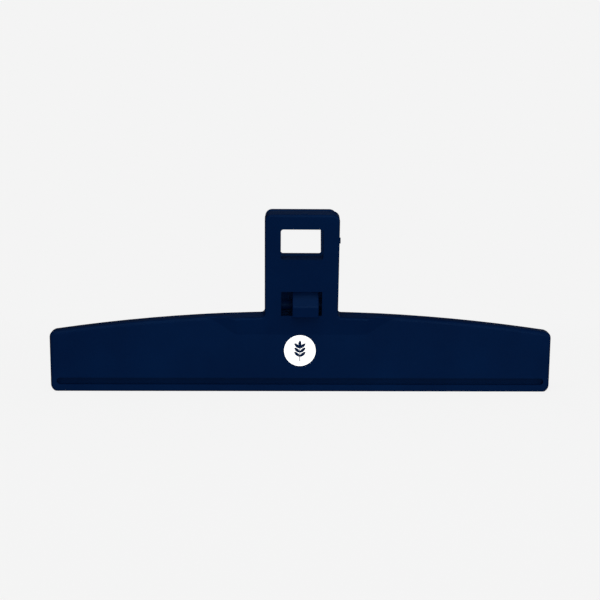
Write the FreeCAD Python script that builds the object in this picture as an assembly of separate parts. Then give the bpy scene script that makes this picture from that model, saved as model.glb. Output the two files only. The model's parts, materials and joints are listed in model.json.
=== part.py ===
"""Bag clip: two moulded halves that rock on a fulcrum bar and are pinched shut by a C-shaped band spring.

Millimetres. X runs along the jaws, Z up along the thumb levers, and the front half faces -Y. The origin is
the middle of the bottom edges of the two lips, on which the clip stands. The two halves mirror each other in
the plane Y = 0, so every shared shape is made for the front half and mirrored for the back half.
"""

import math
import os

import FreeCAD
import Part

V = FreeCAD.Vector

# jaws
JAW_LENGTH = 203.2
JAW_HEIGHT_MID = 31.9
JAW_HEIGHT_END = 24.4
JAW_LEAN = 5.5  # degrees that the outer face leans out from the lip upwards
JAW_DEPTH = 6.0  # of the block that the skirt, land and ribs are cut from
JAW_TOP_CORNER = 2.6
JAW_BOTTOM_CORNER = 3.2
LIP_HALF_THICKNESS = 3.2
LIP_GAP = 0.1  # between the two closed lips
LAND_HEIGHT = 7.0  # of the solid lip that grips the bag

# levers
LEVER_WIDTH = 29.5
LEVER_TOP = 72.2
LEVER_LEAN = 16.0
LEVER_DEPTH = 5.6
LEVER_CORNER = 2.9
ARMPIT = 1.6
CREASE_HEIGHT = 23.6  # where the jaw bends into the lever
SHOULDER_FLAT = 26.5  # half-width of the bend
SHOULDER_END = 38.0  # where the bend has faded out along the jaw's top edge
SHOULDER_DROP = 1.15  # of the outer top edge beside the lever, below the jaw's own arch
THROAT = 1.0  # from the middle plane to the jaw's inner rim at the crease

# walls
WALL = 2.0
SKIRT = 1.8
RIB = 1.2
RIB_COUNT = 5  # on each side of the lever
JAW_ROUND = 1.6  # of the outer edges
LEVER_ROUND = 0.9

# hanging hole
HOLE_WIDTH = 16.8
HOLE_BOTTOM = 54.4
HOLE_TOP = 66.5
HOLE_CORNER = 1.0
COLLAR = 1.5
COLLAR_DEPTH = 4.8

# spring window
WINDOW_WIDTH = 16.4
WINDOW_BOTTOM = 31.45
WINDOW_TOP = 41.4

# groove and grip
GROOVE_BOTTOM = 2.8
GROOVE_TOP = 5.55
GROOVE_DEPTH = 1.6
GROOVE_END_GAP = 2.55
RIDGE_DEPTH = 0.9
RIDGE_HEIGHT = 1.8
RIDGE_CLEARANCE = 0.35

# fulcrum
FULCRUM_HEIGHT = 35.2
FULCRUM_RADIUS = 2.05
FULCRUM_CLEARANCE = 0.06
CRADLE_INNER = 9.3  # half the gap between the two cradle ribs
CRADLE_THICKNESS = 1.3
CRADLE_REACH = 4.4  # up and down from the fulcrum's axis
GUSSET_INNER = 10.9
GUSSET_THICKNESS = 1.3
GUSSET_BOSS = 3.1

# spring
SPRING_INNER = 8.78
SPRING_THICKNESS = 1.5
SPRING_WIDTH = 10.4
SPRING_OFFSET = 1.6  # along X, as the spring sits a little to one side of the window
SPRING_DROP = 27.0  # degrees that each end reaches below the fulcrum
SPRING_FLAT = 40.0  # degrees above the fulcrum where the band's flat side turns into its round back
SPRING_END_ROUND = 0.6
SPRING_SLOT_CLEARANCE = 0.12  # at each side of the spring in the back half's window
LIP_REACH = 0.5  # of the back window's two lips, inside the spring, past the window's sides
LIP_WIDTH = 1.5
LIP_INNER = 4.4
LIP_OUTER = 5.4

# small marks of the moulding
TOP_GATE = (2.8, 1.4, 0.5)
TOP_GATE_AT = 0.8
SIDE_GATE = (0.4, 1.6, 2.3)
SIDE_GATE_HEIGHT = 61.0

# printed disc
DISC_DIAMETER = 12.8
DISC_THICKNESS = 0.08
DISC_AT = (-0.5, 17.0)
STEM = (0.34, 5.6)
LEAF = (1.25, 3.1)
LEAF_PAIRS = 3
LEAF_PITCH = 1.75
LEAF_SPREAD = 48.0  # degrees from the stem

BIG = 300.0

half_length = JAW_LENGTH / 2
half_lever = LEVER_WIDTH / 2
jaw_tan = math.tan(math.radians(JAW_LEAN))
lever_tan = math.tan(math.radians(LEVER_LEAN))
crease_y = -LIP_HALF_THICKNESS - CREASE_HEIGHT * jaw_tan
jaw_rise = JAW_HEIGHT_MID - JAW_HEIGHT_END
arch_radius = (half_length**2 + jaw_rise**2) / (2 * jaw_rise)
shoulder_radius = arch_radius * math.cos(math.radians(LEVER_LEAN))


def lever_face_y(z):
    """Y of the front lever's outer face at height z."""
    return crease_y - (z - CREASE_HEIGHT) * lever_tan


def box(x0, x1, y0, y1, z0, z1):
    return Part.makeBox(x1 - x0, y1 - y0, z1 - z0, V(x0, y0, z0))


def line(a, b):
    return Part.LineSegment(V(a[0], 0, a[1]), V(b[0], 0, b[1])).toShape()


def arc(a, middle, b):
    return Part.Arc(V(a[0], 0, a[1]), V(middle[0], 0, middle[1]), V(b[0], 0, b[1])).toShape()


def corner_arc(centre, radius, start, end):
    """A round corner about centre, from one angle in degrees to another, in the XZ plane."""

    def at(angle):
        turn = math.radians(angle)
        return (centre[0] + radius * math.cos(turn), centre[1] + radius * math.sin(turn))

    return arc(at(start), at((start + end) / 2), at(end))


def prism(edges, depth, y=0.0):
    """The closed outline of edges in the XZ plane, made solid from y to y + depth."""
    face = Part.Face(Part.Wire(Part.__sortEdges__(edges)))
    face.translate(V(0, y, 0))
    return face.extrude(V(0, depth, 0))


def side_prism(points, x0, x1):
    """A polygon of (y, z) points made solid from x0 to x1."""
    loop = [V(x0, y, z) for y, z in points]
    return Part.Face(Part.makePolygon(loop + loop[:1])).extrude(V(x1 - x0, 0, 0))


def rounded_box_outline(x0, x1, z0, z1, radius):
    """The edges of a rectangle with four round corners."""
    return [
        line((x0 + radius, z0), (x1 - radius, z0)),
        corner_arc((x1 - radius, z0 + radius), radius, -90, 0),
        line((x1, z0 + radius), (x1, z1 - radius)),
        corner_arc((x1 - radius, z1 - radius), radius, 0, 90),
        line((x1 - radius, z1), (x0 + radius, z1)),
        corner_arc((x0 + radius, z1 - radius), radius, 90, 180),
        line((x0, z1 - radius), (x0, z0 + radius)),
        corner_arc((x0 + radius, z0 + radius), radius, 180, 270),
    ]


def both_sides(edges):
    """The given edges and their mirror images in the plane X = 0."""
    return edges + [edge.mirror(V(0, 0, 0), V(1, 0, 0)) for edge in edges]


def round_outer_edges(solid, radius, wanted=lambda middle: True):
    """Round the edges of the outer face, Y = 0, whose middle passes the test."""
    chosen = []
    for edge in solid.Edges:
        middle = edge.valueAt((edge.FirstParameter + edge.LastParameter) / 2)
        flat = all(abs(vertex.Point.y) < 1e-6 for vertex in edge.Vertexes)
        if flat and abs(middle.y) < 1e-6 and wanted(middle):
            chosen.append(edge)
    return solid.makeFillet(radius, chosen)


def lean_jaw(solid):
    """Put a solid made with its outer face at Y = 0 into the leaning plane of the jaw."""
    solid.rotate(V(0, 0, 0), V(1, 0, 0), JAW_LEAN)
    solid.translate(V(0, -LIP_HALF_THICKNESS, 0))
    return solid


def lean_lever(solid):
    """The same for the lever, whose outline starts from Z = 0 at the crease."""
    solid.rotate(V(0, 0, 0), V(1, 0, 0), LEVER_LEAN)
    solid.translate(V(0, crease_y, CREASE_HEIGHT))
    return solid


def jaw_up(z):
    """Distance along the jaw's leaning face at height z."""
    return z / math.cos(math.radians(JAW_LEAN))


def lever_up(z):
    """Distance along the lever's leaning face at height z, from the crease."""
    return (z - CREASE_HEIGHT) / math.cos(math.radians(LEVER_LEAN))


def jaw_outline(inset=0.0, bottom=0.0):
    """Edges of the jaw plate in its own plane, from the given bottom to the arched top, inset all round."""
    side = half_length - inset
    rise = arch_radius - inset
    centre = jaw_up(JAW_HEIGHT_MID) - arch_radius
    top_corner = max(JAW_TOP_CORNER - inset, 0.6)
    low_corner = max(JAW_BOTTOM_CORNER - inset, 0.6)
    corner_x = side - top_corner
    corner_z = centre + math.sqrt((rise - top_corner) ** 2 - corner_x**2)
    turn = math.degrees(math.atan2(corner_z - centre, corner_x))
    touch = (rise * math.cos(math.radians(turn)), centre + rise * math.sin(math.radians(turn)))
    between = touch[0] / 2
    half = [
        line((0, bottom), (side - low_corner, bottom)),
        corner_arc((side - low_corner, bottom + low_corner), low_corner, -90, 0),
        line((side, bottom + low_corner), (side, corner_z)),
        corner_arc((corner_x, corner_z), top_corner, 0, turn),
        arc(touch, (between, centre + math.sqrt(rise**2 - between**2)), (0, centre + rise)),
    ]
    return both_sides(half)


def jaw_block():
    """The leaning jaw plate before it is hollowed, with its outer edges rounded."""
    below = -JAW_DEPTH * jaw_tan
    block = prism(jaw_outline(bottom=below), JAW_DEPTH)
    return lean_jaw(round_outer_edges(block, JAW_ROUND))


def shoulder_height(x):
    """Distance up the lever's plane to the top of its shoulder at x."""
    centre = lever_up(JAW_HEIGHT_MID - SHOULDER_DROP) - shoulder_radius
    return centre + math.sqrt(shoulder_radius**2 - x * x)


def lever_outline():
    """Edges of the lever plate in its own plane, with the shoulders that run out along the jaw's top."""
    top = lever_up(LEVER_TOP)
    centre = shoulder_height(0) - shoulder_radius
    armpit_x = half_lever + ARMPIT
    armpit_z = centre + math.sqrt((shoulder_radius + ARMPIT) ** 2 - armpit_x**2)
    turn = math.degrees(math.atan2(armpit_z - centre, armpit_x))
    touch = shoulder_radius * math.cos(math.radians(turn))
    between = (touch + SHOULDER_END) / 2
    end = (SHOULDER_END, shoulder_height(SHOULDER_END))
    half = [
        line((0, 0), (SHOULDER_END, 0)),
        line((SHOULDER_END, 0), end),
        arc(end, (between, shoulder_height(between)), (touch, shoulder_height(touch))),
        corner_arc((armpit_x, armpit_z), ARMPIT, turn + 180, 180),
        line((half_lever, armpit_z), (half_lever, top - LEVER_CORNER)),
        corner_arc((half_lever - LEVER_CORNER, top - LEVER_CORNER), LEVER_CORNER, 0, 90),
        line((half_lever - LEVER_CORNER, top), (0, top)),
    ]
    return both_sides(half)


def shoulder_slopes():
    """The two tools that slope the jaw's top down to the shoulders, square to the lever's plane."""
    start = (0, shoulder_height(0))
    flat = (SHOULDER_FLAT, shoulder_height(SHOULDER_FLAT))
    end = (SHOULDER_END, shoulder_height(SHOULDER_END) + SHOULDER_DROP)
    above = start[1] + 10
    edges = [
        arc(start, (SHOULDER_FLAT / 2, shoulder_height(SHOULDER_FLAT / 2)), flat),
        line(flat, end),
        line(end, (SHOULDER_END, above)),
        line((SHOULDER_END, above), (0, above)),
        line((0, above), start),
    ]
    right = lean_lever(prism(edges, 30, -10))
    return [right, right.mirror(V(0, 0, 0), V(1, 0, 0))]


def shoulder_facets():
    """The two tools that slope the shoulders of the lever's plane back into the jaw's plane."""
    step = shoulder_height(0) * math.tan(math.radians(LEVER_LEAN - JAW_LEAN))
    slope = math.degrees(math.atan2(step, SHOULDER_END - SHOULDER_FLAT))
    right = box(SHOULDER_FLAT, SHOULDER_FLAT + 40, -20, 0, -5, 20)
    right.rotate(V(SHOULDER_FLAT, 0, 0), V(0, 0, 1), slope)
    return [right, right.mirror(V(0, 0, 0), V(1, 0, 0))]


def lever_block():
    """The leaning lever plate before it is hollowed, with its outer edges rounded."""
    block = prism(lever_outline(), LEVER_DEPTH)
    inside = SHOULDER_END - 0.01
    block = round_outer_edges(block, LEVER_ROUND, lambda middle: middle.z > 0.01 and abs(middle.x) < inside)
    return lean_lever(block.cut(shoulder_facets()))


def inner_trim():
    """Everything behind the inner rim of the jaw: the mating plane, then the throat, which widens upwards."""
    rim = -LIP_GAP / 2
    lever_rim = crease_y + LEVER_DEPTH / math.cos(math.radians(LEVER_LEAN))
    meet = CREASE_HEIGHT + (lever_rim + THROAT) / lever_tan
    above = LEVER_TOP + 20
    points = [
        (rim, -20),
        (rim, LAND_HEIGHT),
        (-THROAT, CREASE_HEIGHT),
        (-THROAT, meet),
        (-THROAT - (above - meet) * lever_tan, above),
        (BIG, above),
        (BIG, -20),
    ]
    return side_prism(points, -BIG, BIG)


def jaw_pockets():
    """The hollows inside the jaw, between its skirt, its land and its upright ribs."""
    hollow = prism(jaw_outline(inset=SKIRT, bottom=jaw_up(LAND_HEIGHT)), BIG, WALL)
    first = half_lever + RIB
    last = half_length - SKIRT
    pitch = (last - first) / (RIB_COUNT + 1)
    places = [first + pitch * n for n in range(RIB_COUNT + 1)]
    ribs = [box(s * x - RIB / 2, s * x + RIB / 2, 0, BIG, -5, 60) for x in places for s in (-1, 1)]
    return lean_jaw(hollow.cut(ribs))


def lever_pocket():
    """The hollow inside the lever, which runs down into the jaw behind the crease."""
    side = half_lever - SKIRT
    top = lever_up(LEVER_TOP) - SKIRT
    corner = LEVER_CORNER - SKIRT
    hollow = prism(rounded_box_outline(-side, side, -corner, top, corner), 2 * JAW_DEPTH, WALL)
    return lean_lever(hollow)


def hole_outline(grow=0.0):
    half = HOLE_WIDTH / 2 + grow
    low = lever_up(HOLE_BOTTOM) - grow
    high = lever_up(HOLE_TOP) + grow
    return rounded_box_outline(-half, half, low, high, HOLE_CORNER + grow)


def hole_collar():
    """The wall round the hanging hole, as deep as the lever's skirt."""
    return lean_lever(prism(hole_outline(COLLAR), COLLAR_DEPTH - WALL / 2, WALL / 2))


def lever_ribs():
    """Two upright ribs from above the spring to the hole's collar."""
    foot = lever_up(WINDOW_TOP) + 6
    ribs = []
    for x in (-HOLE_WIDTH / 3, HOLE_WIDTH / 3):
        ribs.append(box(x - RIB / 2, x + RIB / 2, WALL / 2, LEVER_DEPTH - 1, foot, lever_up(HOLE_BOTTOM)))
    return [lean_lever(rib) for rib in ribs]


def cradle_ribs():
    """Two ribs behind the front half's window, notched to rock on the fulcrum bar."""
    low = FULCRUM_HEIGHT - CRADLE_REACH
    high = FULCRUM_HEIGHT + CRADLE_REACH
    tip = -0.3
    outline = [
        (lever_face_y(low) + WALL / 2, low),
        (tip, low + 1.5),
        (tip, high - 1.5),
        (lever_face_y(high) + WALL / 2, high),
    ]
    notch = bar(FULCRUM_RADIUS + FULCRUM_CLEARANCE, CRADLE_INNER + CRADLE_THICKNESS + 1)
    ribs = []
    for side in (-1, 1):
        inner = side * CRADLE_INNER
        outer = side * (CRADLE_INNER + CRADLE_THICKNESS)
        ribs.append(side_prism(outline, min(inner, outer), max(inner, outer)).cut(notch))
    return ribs


def bar(radius, half_span):
    return Part.makeCylinder(radius, 2 * half_span, V(-half_span, 0, FULCRUM_HEIGHT), V(1, 0, 0))


def fulcrum():
    """The fulcrum bar and the two gussets that carry it, placed for the half on the +Y side."""
    span = GUSSET_INNER + GUSSET_THICKNESS
    parts = [bar(FULCRUM_RADIUS, span)]
    low = FULCRUM_HEIGHT - CRADLE_REACH - 1
    high = FULCRUM_HEIGHT + CRADLE_REACH + 1
    outline = [
        (-lever_face_y(low) - WALL / 2, low),
        (0, FULCRUM_HEIGHT - GUSSET_BOSS),
        (0, FULCRUM_HEIGHT + GUSSET_BOSS),
        (-lever_face_y(high) - WALL / 2, high),
    ]
    for side in (-1, 1):
        near = min(side * GUSSET_INNER, side * span)
        parts.append(side_prism(outline, near, near + GUSSET_THICKNESS))
        parts.append(Part.makeCylinder(GUSSET_BOSS, GUSSET_THICKNESS, V(near, 0, FULCRUM_HEIGHT), V(1, 0, 0)))
    return parts


def window(x0, x1):
    """The tool that cuts a spring window through the lever."""
    return box(x0, x1, lever_face_y(WINDOW_TOP) - 5, -LIP_HALF_THICKNESS, WINDOW_BOTTOM, WINDOW_TOP)


def groove():
    """The long round-ended groove in the outer face just above the lip."""
    half = half_length - GROOVE_END_GAP
    low = jaw_up(GROOVE_BOTTOM)
    high = jaw_up(GROOVE_TOP)
    outline = rounded_box_outline(-half, half, low, high, (high - low) / 2 - 0.01)
    return lean_jaw(prism(outline, 20 + GROOVE_DEPTH, -20))


def grip(depth, grow):
    """A ridge of the given depth on the mating plane, which tapers to half its height at its crest."""
    middle = (GROOVE_BOTTOM + GROOVE_TOP) / 2
    half = RIDGE_HEIGHT / 2 + grow
    rim = -LIP_GAP / 2
    points = [(rim - 1, middle - half), (rim - 1, middle + half), (rim, middle + half)]
    points += [(rim + depth, middle + half / 2), (rim + depth, middle - half / 2), (rim, middle - half)]
    reach = half_length - GROOVE_END_GAP - 1 + grow
    return side_prism(points, -reach, reach)


def shell():
    """What both halves share, as the front half: the hollow jaw and lever with the hole and the groove."""
    body = jaw_block().cut(shoulder_slopes()).fuse(lever_block())
    body = body.cut([jaw_pockets(), lever_pocket()])
    body = body.fuse([hole_collar()] + lever_ribs())
    hole = lean_lever(prism(hole_outline(), BIG, -BIG / 2))
    body = body.cut([inner_trim(), hole, groove(), box(-BIG, BIG, -BIG, BIG, -BIG, 0)])
    return body.removeSplitter()


def mirrored(solid):
    return solid.mirror(V(0, 0, 0), V(0, 1, 0))


def front_half():
    body = shell().fuse(cradle_ribs() + [grip(RIDGE_DEPTH, 0)])
    body = body.cut(window(-WINDOW_WIDTH / 2, WINDOW_WIDTH / 2))
    wide, deep, tall = TOP_GATE
    top_y = lever_face_y(LEVER_TOP) + LEVER_ROUND + 0.4
    left = TOP_GATE_AT - wide / 2
    gate = box(left, left + wide, top_y, top_y + deep, LEVER_TOP - 1, LEVER_TOP + tall)
    wide, deep, tall = SIDE_GATE
    side_y = lever_face_y(SIDE_GATE_HEIGHT) + LEVER_ROUND + 0.4
    low = SIDE_GATE_HEIGHT
    nub = box(half_lever - 1, half_lever + wide, side_y, side_y + deep, low, low + tall)
    return body.fuse([gate, nub]).removeSplitter()


def spring_lips(reach):
    """The two lips beside the back window that the spring's inside hooks over, for the +Y side."""
    lips = []
    for side in (-1, 1):
        edge = SPRING_OFFSET + side * reach
        outer = edge + side * LIP_WIDTH
        tip = edge - side * LIP_REACH
        root = -lever_face_y(WINDOW_BOTTOM) - WALL / 2
        foot = [(LIP_INNER, WINDOW_BOTTOM), (root, WINDOW_BOTTOM)]
        head = [(-lever_face_y(WINDOW_TOP) - WALL / 2, WINDOW_TOP), (LIP_INNER, WINDOW_TOP)]
        lips.append(side_prism(foot + head, min(edge, outer), max(edge, outer)))
        lips.append(box(min(tip, outer), max(tip, outer), LIP_INNER, LIP_OUTER, WINDOW_BOTTOM, WINDOW_TOP))
    return lips


def back_half():
    reach = SPRING_WIDTH / 2 + SPRING_SLOT_CLEARANCE
    body = shell().cut(window(SPRING_OFFSET - reach, SPRING_OFFSET + reach))
    body = mirrored(body)
    body = body.cut(grip(RIDGE_DEPTH + RIDGE_CLEARANCE + LIP_GAP, RIDGE_CLEARANCE))
    return body.fuse(fulcrum() + spring_lips(reach)).removeSplitter()


def band_spring():
    """The C-shaped band about the fulcrum, whose ends rest on the outer faces below the windows."""
    left = SPRING_OFFSET - SPRING_WIDTH / 2
    outer = SPRING_INNER + SPRING_THICKNESS

    def at(radius, angle):
        turn = math.radians(angle)
        return V(left, -radius * math.cos(turn), FULCRUM_HEIGHT + radius * math.sin(turn))

    def side(radius):
        bends = [-SPRING_DROP, 0, SPRING_FLAT]
        front = [at(radius, angle) for angle in bends]
        back = [at(radius, 180 - angle) for angle in bends]
        lines = [Part.LineSegment(a, b).toShape() for run in (front, back) for a, b in zip(run, run[1:])]
        return lines + [Part.Arc(front[-1], at(radius, 90), back[-1]).toShape()]

    tips = [-SPRING_DROP, 180 + SPRING_DROP]
    ends = [Part.LineSegment(at(SPRING_INNER, tip), at(outer, tip)).toShape() for tip in tips]
    outline = Part.Wire(Part.__sortEdges__(side(SPRING_INNER) + side(outer) + ends))
    band = Part.Face(outline).extrude(V(SPRING_WIDTH, 0, 0))
    corners = [at(outer, tip) for tip in tips]
    rounded = []
    for edge in band.Edges:
        points = [V(left, vertex.Point.y, vertex.Point.z) for vertex in edge.Vertexes]
        if any(all(point.distanceToPoint(corner) < 0.01 for point in points) for corner in corners):
            rounded.append(edge)
    return band.makeFillet(SPRING_END_ROUND, rounded)


def leaf(x, z, angle):
    """The outline of one leaf as a cutting tool, with its foot at (x, z), turned away from upright."""
    width, length = LEAF
    left = arc((0, 0), (-width / 2, length / 2), (0, length))
    right = arc((0, length), (width / 2, length / 2), (0, 0))
    tool = prism([left, right], 1, -0.5)
    tool.rotate(V(0, 0, 0), V(0, 1, 0), angle)
    tool.translate(V(x, 0, z))
    return tool


def imprint_disc():
    """The thin printed disc on the front jaw's outer face, with a plain leafy sprig left open in the ink."""
    x = DISC_AT[0]
    z = jaw_up(DISC_AT[1])
    disc = Part.makeCylinder(DISC_DIAMETER / 2, DISC_THICKNESS, V(x, 0, z), V(0, -1, 0))
    wide, tall = STEM
    foot = z - (tall + LEAF[1]) / 2
    tools = [box(x - wide / 2, x + wide / 2, -0.5, 0.5, foot, foot + tall + 0.1), leaf(x, foot + tall, 0)]
    for pair in range(LEAF_PAIRS):
        height = foot + tall - 0.3 - LEAF_PITCH * pair
        tools += [leaf(x, height, side * LEAF_SPREAD) for side in (-1, 1)]
    return lean_jaw(disc.cut(tools))


def main():
    os.makedirs("parts", exist_ok=True)
    nodes = {
        "front_half": front_half(),
        "back_half": back_half(),
        "band_spring": band_spring(),
        "imprint_disc": imprint_disc(),
    }
    for name, shape in nodes.items():
        shape.exportStep("parts/" + name + ".step")
        print(name, shape.isValid(), len(shape.Solids), round(shape.Volume, 1), shape.BoundBox)


main()
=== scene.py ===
"""Bag clip in navy moulded plastic, standing on a pale floor in soft studio light.

The two halves and the printed disc are the CAD nodes with better materials. The band spring is rebuilt as a
fine mesh here, because it opens with the clip and the CAD solid can't.
"""

import json
import math

import bmesh
import bpy
from mathutils import Matrix, Vector


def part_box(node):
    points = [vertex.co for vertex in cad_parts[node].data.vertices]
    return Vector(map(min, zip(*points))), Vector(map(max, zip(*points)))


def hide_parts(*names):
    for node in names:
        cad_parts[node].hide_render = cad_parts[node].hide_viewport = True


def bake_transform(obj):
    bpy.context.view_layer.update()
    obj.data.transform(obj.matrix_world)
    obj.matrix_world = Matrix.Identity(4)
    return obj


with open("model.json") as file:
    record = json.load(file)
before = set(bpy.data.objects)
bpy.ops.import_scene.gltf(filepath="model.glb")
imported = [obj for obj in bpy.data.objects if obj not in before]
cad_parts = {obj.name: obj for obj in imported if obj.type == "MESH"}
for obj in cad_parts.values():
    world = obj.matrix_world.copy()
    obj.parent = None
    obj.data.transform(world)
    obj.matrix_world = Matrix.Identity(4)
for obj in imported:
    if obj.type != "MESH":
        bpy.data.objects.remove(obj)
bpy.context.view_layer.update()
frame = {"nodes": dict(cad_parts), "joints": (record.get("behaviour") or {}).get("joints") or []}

# camera: metres, degrees, and millimetres for the lens and sensor
CAMERA_DISTANCE = 0.520
CAMERA_AZIMUTH = -1.15
CAMERA_ELEVATION = 5.6
CAMERA_ROLL = 0.29
CAMERA_LENS = 76.6
SENSOR = 36.0
AIM_HEIGHT = 0.03712
AIM_SIDE = -0.00045
NEAR_CLIP = 0.01

# band spring
BAND_FLAT = math.radians(40)  # above the hinge, where the band's flat side turns into its round back
BAND_STEPS = (8, 8, 44, 8, 8)  # along the tip, the flat side, the back, and down again
BAND_EDGE = 0.00028  # radius of the section's four corners
BAND_EDGE_STEPS = 4
BAND_CROWN = 0.00006  # rise of the outer face at its middle
BAND_CROWN_POINTS = (0.75, 0.5, 0.25, 0, -0.25, -0.5, -0.75)  # as shares of the half-width

# plastic
NAVY_DARK = (0.0000, 0.0045, 0.0255)
NAVY_LIGHT = (0.0000, 0.0058, 0.0305)
BAND_DARK = (0.0000, 0.0046, 0.0255)
BAND_LIGHT = (0.0002, 0.0056, 0.0300)
INK_DARK = (0.93, 0.93, 0.93)
INK_LIGHT = (0.97, 0.97, 0.965)
LOW_SPECULAR = 0.05
BLUE_SPECULAR = (0.3, 0.6, 1.0)

# studio
PALE = (0.905, 0.905, 0.905)
WHITE = (1, 1, 1)
COOL = (0.55, 0.78, 1.0)
FLOOR_SIZE = 6.0
FLOOR_NEAR = 0.10  # metres from the middle, where the floor starts to fade
FLOOR_FAR = 0.32  # where it has faded out
FLOOR_GLOW = 0.95  # share of the floor's own light near the object; the rest takes shadows
ROOM_LIGHT = 0.35
ROOM_REFLECTION = 0.02
LIGHTS_TARGET = (0, 0, 0.035)


def node_tree(name):
    """A new material and its shader, with the default tree ready to add to."""
    material = bpy.data.materials.new(name)
    material.use_nodes = True
    return material, material.node_tree, material.node_tree.nodes["Principled BSDF"]


def add_node(tree, kind, inputs=None, **settings):
    """A new node with its settings and the values of its unlinked inputs."""
    node = tree.nodes.new(kind)
    for key, value in settings.items():
        setattr(node, key, value)
    for key, value in (inputs or {}).items():
        node.inputs[key].default_value = value
    return node


def noise(tree, scale, detail=3.0, rough=0.5):
    """A noise in the object's own coordinates, with scale in cells per metre."""
    coordinates = add_node(tree, "ShaderNodeTexCoord")
    texture = add_node(tree, "ShaderNodeTexNoise", {"Scale": scale, "Detail": detail, "Roughness": rough})
    tree.links.new(coordinates.outputs["Object"], texture.inputs["Vector"])
    return texture.outputs["Fac"]


def map_range(tree, value, low, high, start=0.3, end=0.7):
    """The value spread to low..high; the default start and end suit the middle of a noise."""
    inputs = {"From Min": start, "From Max": end, "To Min": low, "To Max": high}
    node = add_node(tree, "ShaderNodeMapRange", inputs)
    tree.links.new(value, node.inputs["Value"])
    return node.outputs["Result"]


def mix_colours(tree, factor, first, second):
    node = add_node(tree, "ShaderNodeMix", data_type="RGBA")
    node.inputs["A"].default_value = (*first, 1)
    node.inputs["B"].default_value = (*second, 1)
    tree.links.new(factor, node.inputs["Factor"])
    return node.outputs["Result"]


def mix_shaders(tree, factor, first, second):
    node = add_node(tree, "ShaderNodeMixShader")
    tree.links.new(factor, node.inputs["Fac"])
    tree.links.new(first, node.inputs[1])
    tree.links.new(second, node.inputs[2])
    return node.outputs["Shader"]


def low_gloss(shader):
    """The weak, bluish reflection of dark satin plastic."""
    shader.inputs["Specular IOR Level"].default_value = LOW_SPECULAR
    shader.inputs["Specular Tint"].default_value = (*BLUE_SPECULAR, 1)


def bump(tree, shader, height, strength, distance):
    node = add_node(tree, "ShaderNodeBump", {"Strength": strength, "Distance": distance})
    tree.links.new(height, node.inputs["Height"])
    tree.links.new(node.outputs["Normal"], shader.inputs["Normal"])


def moulded_navy():
    """Satin injection-moulded plastic: fine spark texture, faint cloudiness and slightly uneven gloss."""
    material, tree, shader = node_tree("navy_moulding")
    cloud = noise(tree, 45, 4)
    mottle = map_range(tree, cloud, 0, 1)
    colour = mix_colours(tree, mottle, NAVY_DARK, NAVY_LIGHT)
    tree.links.new(colour, shader.inputs["Base Color"])
    tree.links.new(map_range(tree, noise(tree, 900, 2), 0.40, 0.52), shader.inputs["Roughness"])
    low_gloss(shader)
    bump(tree, shader, noise(tree, 3800, 3, 0.6), 0.35, 0.00006)
    return material


def band_navy():
    """The smoother, slightly glossier plastic of the band spring."""
    material, tree, shader = node_tree("navy_spring")
    cloud = noise(tree, 120, 3)
    mottle = map_range(tree, cloud, 0, 1)
    colour = mix_colours(tree, mottle, BAND_DARK, BAND_LIGHT)
    tree.links.new(colour, shader.inputs["Base Color"])
    tree.links.new(map_range(tree, noise(tree, 1400, 2), 0.34, 0.46), shader.inputs["Roughness"])
    low_gloss(shader)
    bump(tree, shader, noise(tree, 3000, 3), 0.2, 0.00004)
    return material


def printed_white():
    """Matt pad-printing ink, a little thin in places."""
    material, tree, shader = node_tree("white_print")
    grain = noise(tree, 2600, 4)
    colour = mix_colours(tree, map_range(tree, grain, 0, 1), INK_DARK, INK_LIGHT)
    tree.links.new(colour, shader.inputs["Base Color"])
    tree.links.new(map_range(tree, grain, 0.5, 0.65), shader.inputs["Roughness"])
    bump(tree, shader, grain, 0.15, 0.00002)
    return material


def paint(obj, material):
    obj.data.materials.clear()
    obj.data.materials.append(material)


def band_section(half_width, thickness):
    """The band's cross-section as (x, depth) points: round edges and a slightly crowned outer face."""
    points = []
    corners = ((1, 1, 0), (-1, 1, 90), (-1, 0, 180), (1, 0, 270))
    for side, outer, start in corners:
        centre_x = side * (half_width - BAND_EDGE)
        centre_d = thickness - BAND_EDGE if outer else BAND_EDGE
        for step in range(BAND_EDGE_STEPS + 1):
            turn = math.radians(start + 90 * step / BAND_EDGE_STEPS)
            points.append((centre_x + BAND_EDGE * math.cos(turn), centre_d + BAND_EDGE * math.sin(turn)))
    crown = [(half_width * k, thickness + BAND_CROWN * (1 - k**2)) for k in BAND_CROWN_POINTS]
    after_first_corner = BAND_EDGE_STEPS + 1
    return points[:after_first_corner] + crown + points[after_first_corner:]


def band_path(drop):
    """Angles round the hinge from tip to tip, each with the band's share of its full radius there."""
    bends = (-drop, 0, BAND_FLAT, math.pi - BAND_FLAT, math.pi, math.pi + drop)
    path = []
    for first, last, steps in zip(bends, bends[1:], BAND_STEPS):
        middle = (first + last) / 2
        is_round = first == BAND_FLAT
        for step in range(steps):
            angle = first + (last - first) * step / steps
            chord = 1 if is_round else math.cos((last - first) / 2) / math.cos(angle - middle)
            path.append((angle, chord))
    return path + [(bends[-1], 1)]


def inner_radius():
    """The band's inner radius, from its CAD mesh: its points that are nearest to the hinge's axis."""
    hinge = Vector(frame["joints"][0]["pos_m"])
    vertices = frame["nodes"]["band_spring"].data.vertices
    return min(math.hypot(v.co.y - hinge.y, v.co.z - hinge.z) for v in vertices)


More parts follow.
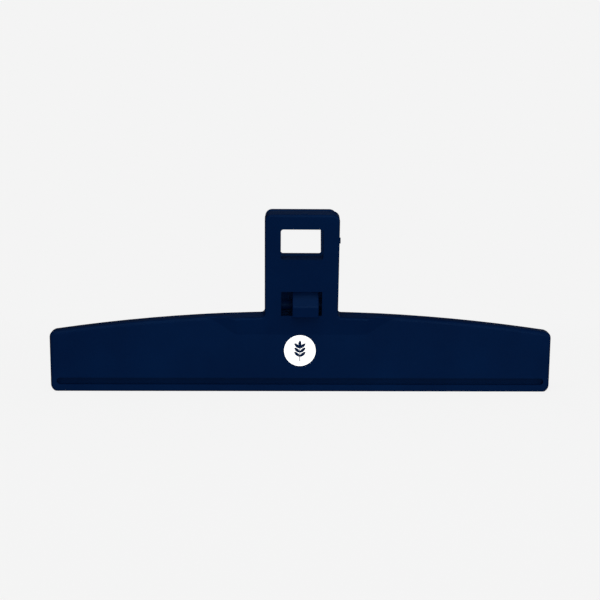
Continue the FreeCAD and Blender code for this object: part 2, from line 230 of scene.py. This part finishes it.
def band_mesh(section, middle_x, inner, hinge, drop):
    """The section swept round the hinge's axis from one tip to the other, with both tips closed."""
    mesh = bmesh.new()
    rings = []
    for angle, chord in band_path(drop):
        ring = []
        for x, depth in section:
            reach = (inner + depth) * chord
            place = (middle_x + x, -reach * math.cos(angle), hinge.z + reach * math.sin(angle))
            ring.append(mesh.verts.new(place))
        rings.append(ring)
    for first, second in zip(rings, rings[1:]):
        for k in range(len(section)):
            after = (k + 1) % len(section)
            mesh.faces.new((first[k], first[after], second[after], second[k]))
    mesh.faces.new(rings[0])
    mesh.faces.new(list(reversed(rings[-1])))
    bmesh.ops.recalc_face_normals(mesh, faces=mesh.faces)
    data = bpy.data.meshes.new("band_spring_mesh")
    mesh.to_mesh(data)
    mesh.free()
    for polygon in data.polygons:
        polygon.use_smooth = len(polygon.vertices) == 4
    return data


def band_spring(material):
    """The C-shaped band, swept as a mesh round the hinge's axis where the CAD band lies; the CAD band is
    hidden.
    """
    low, high = (Vector(corner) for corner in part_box("band_spring"))
    hinge = Vector(frame["joints"][0]["pos_m"])
    inner = inner_radius()
    outer = (high.y - low.y) / 2
    drop = math.asin((hinge.z - low.z) / outer)
    section = band_section((high.x - low.x) / 2, outer - inner)
    data = band_mesh(section, (high.x + low.x) / 2, inner, hinge, drop)
    band = bpy.data.objects.new("band_spring_flexing", data)
    bpy.context.collection.objects.link(band)
    paint(band, material)
    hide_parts("band_spring")
    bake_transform(band)


def pale_floor():
    """A large floor as bright as the background, which takes a faint shadow only near the object."""
    bpy.ops.mesh.primitive_circle_add(vertices=96, radius=FLOOR_SIZE, fill_type="NGON")
    floor = bpy.context.object
    floor.name = "floor"
    material, tree, shader = node_tree("pale_floor")
    shader.inputs["Base Color"].default_value = (*PALE, 1)
    shader.inputs["Roughness"].default_value = 0.9
    shader.inputs["Specular IOR Level"].default_value = 0.0
    coordinates = add_node(tree, "ShaderNodeTexCoord")
    distance = add_node(tree, "ShaderNodeVectorMath", operation="LENGTH")
    tree.links.new(coordinates.outputs["Object"], distance.inputs[0])
    fade = map_range(tree, distance.outputs["Value"], FLOOR_GLOW, 1.0, FLOOR_NEAR, FLOOR_FAR)
    glow = add_node(tree, "ShaderNodeEmission", {"Color": (*PALE, 1), "Strength": 1.0})
    surface = mix_shaders(tree, fade, shader.outputs["BSDF"], glow.outputs["Emission"])
    tree.links.new(surface, tree.nodes["Material Output"].inputs["Surface"])
    paint(floor, material)
    floor.visible_glossy = False


def studio_world():
    """A pale backdrop for the eye, a dimmer room for light and a darker one for reflections."""
    world = bpy.data.worlds.new("studio")
    bpy.context.scene.world = world
    world.use_nodes = True
    tree = world.node_tree
    seen = tree.nodes["Background"]
    seen.inputs["Color"].default_value = (*PALE, 1)
    room = add_node(tree, "ShaderNodeBackground", {"Color": (*WHITE, 1), "Strength": ROOM_LIGHT})
    mirrored = add_node(tree, "ShaderNodeBackground", {"Color": (*WHITE, 1), "Strength": ROOM_REFLECTION})
    path = add_node(tree, "ShaderNodeLightPath").outputs
    indirect = mix_shaders(
        tree, path["Is Glossy Ray"], room.outputs["Background"], mirrored.outputs["Background"]
    )
    surface = mix_shaders(tree, path["Is Camera Ray"], indirect, seen.outputs["Background"])
    tree.links.new(surface, tree.nodes["World Output"].inputs["Surface"])


def softbox(name, place, size, power, colour=WHITE):
    """A rectangular area light turned towards the object, with its power in watts."""
    light = bpy.data.lights.new(name, "AREA")
    light.shape = "RECTANGLE"
    light.size, light.size_y = size
    light.energy = power
    light.color = colour
    lamp = bpy.data.objects.new(name, light)
    lamp.location = place
    lamp.rotation_euler = (Vector(LIGHTS_TARGET) - Vector(place)).to_track_quat("-Z", "Y").to_euler()
    bpy.context.collection.objects.link(lamp)


def studio_lights():
    softbox("key_above_front", (-0.15, -0.55, 0.75), (0.9, 0.6), 5.4)
    softbox("fill_by_camera", (0.1, -0.9, 0.12), (0.5, 0.4), 4.4)
    softbox("fill_right", (0.8, -0.35, 0.35), (0.6, 0.6), 2.0)
    softbox("rim_behind_right", (0.45, 0.6, 0.3), (0.3, 0.2), 0.18, COOL)
    softbox("rim_above_behind", (-0.1, 0.6, 0.55), (0.5, 0.3), 0.14, COOL)


def camera():
    """A long lens a little to the object's left and just above it."""
    side = math.radians(CAMERA_AZIMUTH)
    lift = math.radians(CAMERA_ELEVATION)
    target = Vector((AIM_SIDE, 0, AIM_HEIGHT))
    away = Vector((math.sin(side) * math.cos(lift), -math.cos(side) * math.cos(lift), math.sin(lift)))
    data = bpy.data.cameras.new("camera")
    data.lens = CAMERA_LENS
    data.sensor_width = SENSOR
    data.clip_start = NEAR_CLIP
    eye = bpy.data.objects.new("camera", data)
    turn = (-away).to_track_quat("-Z", "Y").to_matrix() @ Matrix.Rotation(math.radians(CAMERA_ROLL), 3, "Z")
    eye.matrix_world = Matrix.Translation(target + away * CAMERA_DISTANCE) @ turn.to_4x4()
    bpy.context.collection.objects.link(eye)
    bpy.context.scene.camera = eye


def main():
    bpy.context.scene.view_settings.view_transform = "Standard"
    camera()
    navy = moulded_navy()
    paint(frame["nodes"]["front_half"], navy)
    paint(frame["nodes"]["back_half"], navy)
    paint(frame["nodes"]["imprint_disc"], printed_white())
    band_spring(band_navy())
    pale_floor()
    studio_world()
    studio_lights()


main()
